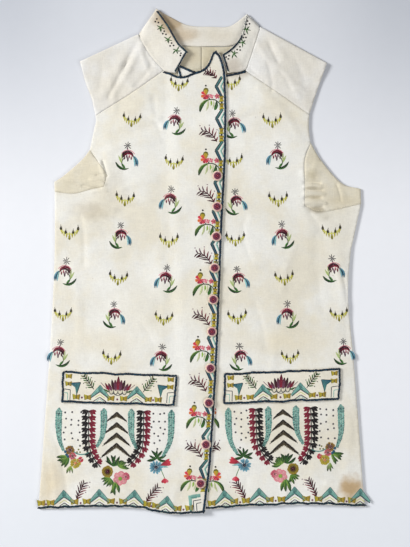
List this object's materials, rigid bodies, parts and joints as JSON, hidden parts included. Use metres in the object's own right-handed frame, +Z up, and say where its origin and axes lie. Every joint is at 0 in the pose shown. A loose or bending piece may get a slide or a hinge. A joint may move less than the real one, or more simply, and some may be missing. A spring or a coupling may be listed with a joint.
{
  "type": "embroidered waistcoat",
  "caption": "Late eighteenth century waistcoat in cream linen with silk embroidery, laid flat and face up",
  "frame": {"origin": "Middle of the bounding box's bottom, on the surface the waistcoat lies on", "axes": "+Z up out of the front, +Y to the collar, +X to the wearer's left"},
  "size_m": [0.4498, 0.697, 0.0118],
  "materials": {
    "worked_linen": "matte plain weave",
    "plain_linen": "matte plain weave",
    "coarse_linen": "matte coarse weave",
    "lining_linen": "matte plain weave",
    "collar_linen": "matte plain weave",
    "button_silk": "silk thread",
    "silk_thread": "silk thread"
  },
  "bodies": {
    "root": {"back": "plain_linen", "back_lining_right": "lining_linen", "back_lining_left": "lining_linen", "front_right": "worked_linen", "front_left": "worked_linen", "underarm_right": "coarse_linen", "underarm_left": "coarse_linen", "collar": "collar_linen", "pocket_flap_right": "worked_linen", "pocket_flap_left": "worked_linen", "button_01": "button_silk", "button_02": "button_silk", "button_03": "button_silk", "button_04": "button_silk", "button_05": "button_silk", "button_06": "button_silk", "button_07": "button_silk", "button_08": "button_silk", "button_09": "button_silk", "button_10": "button_silk"}
  },
  "joints": []
}
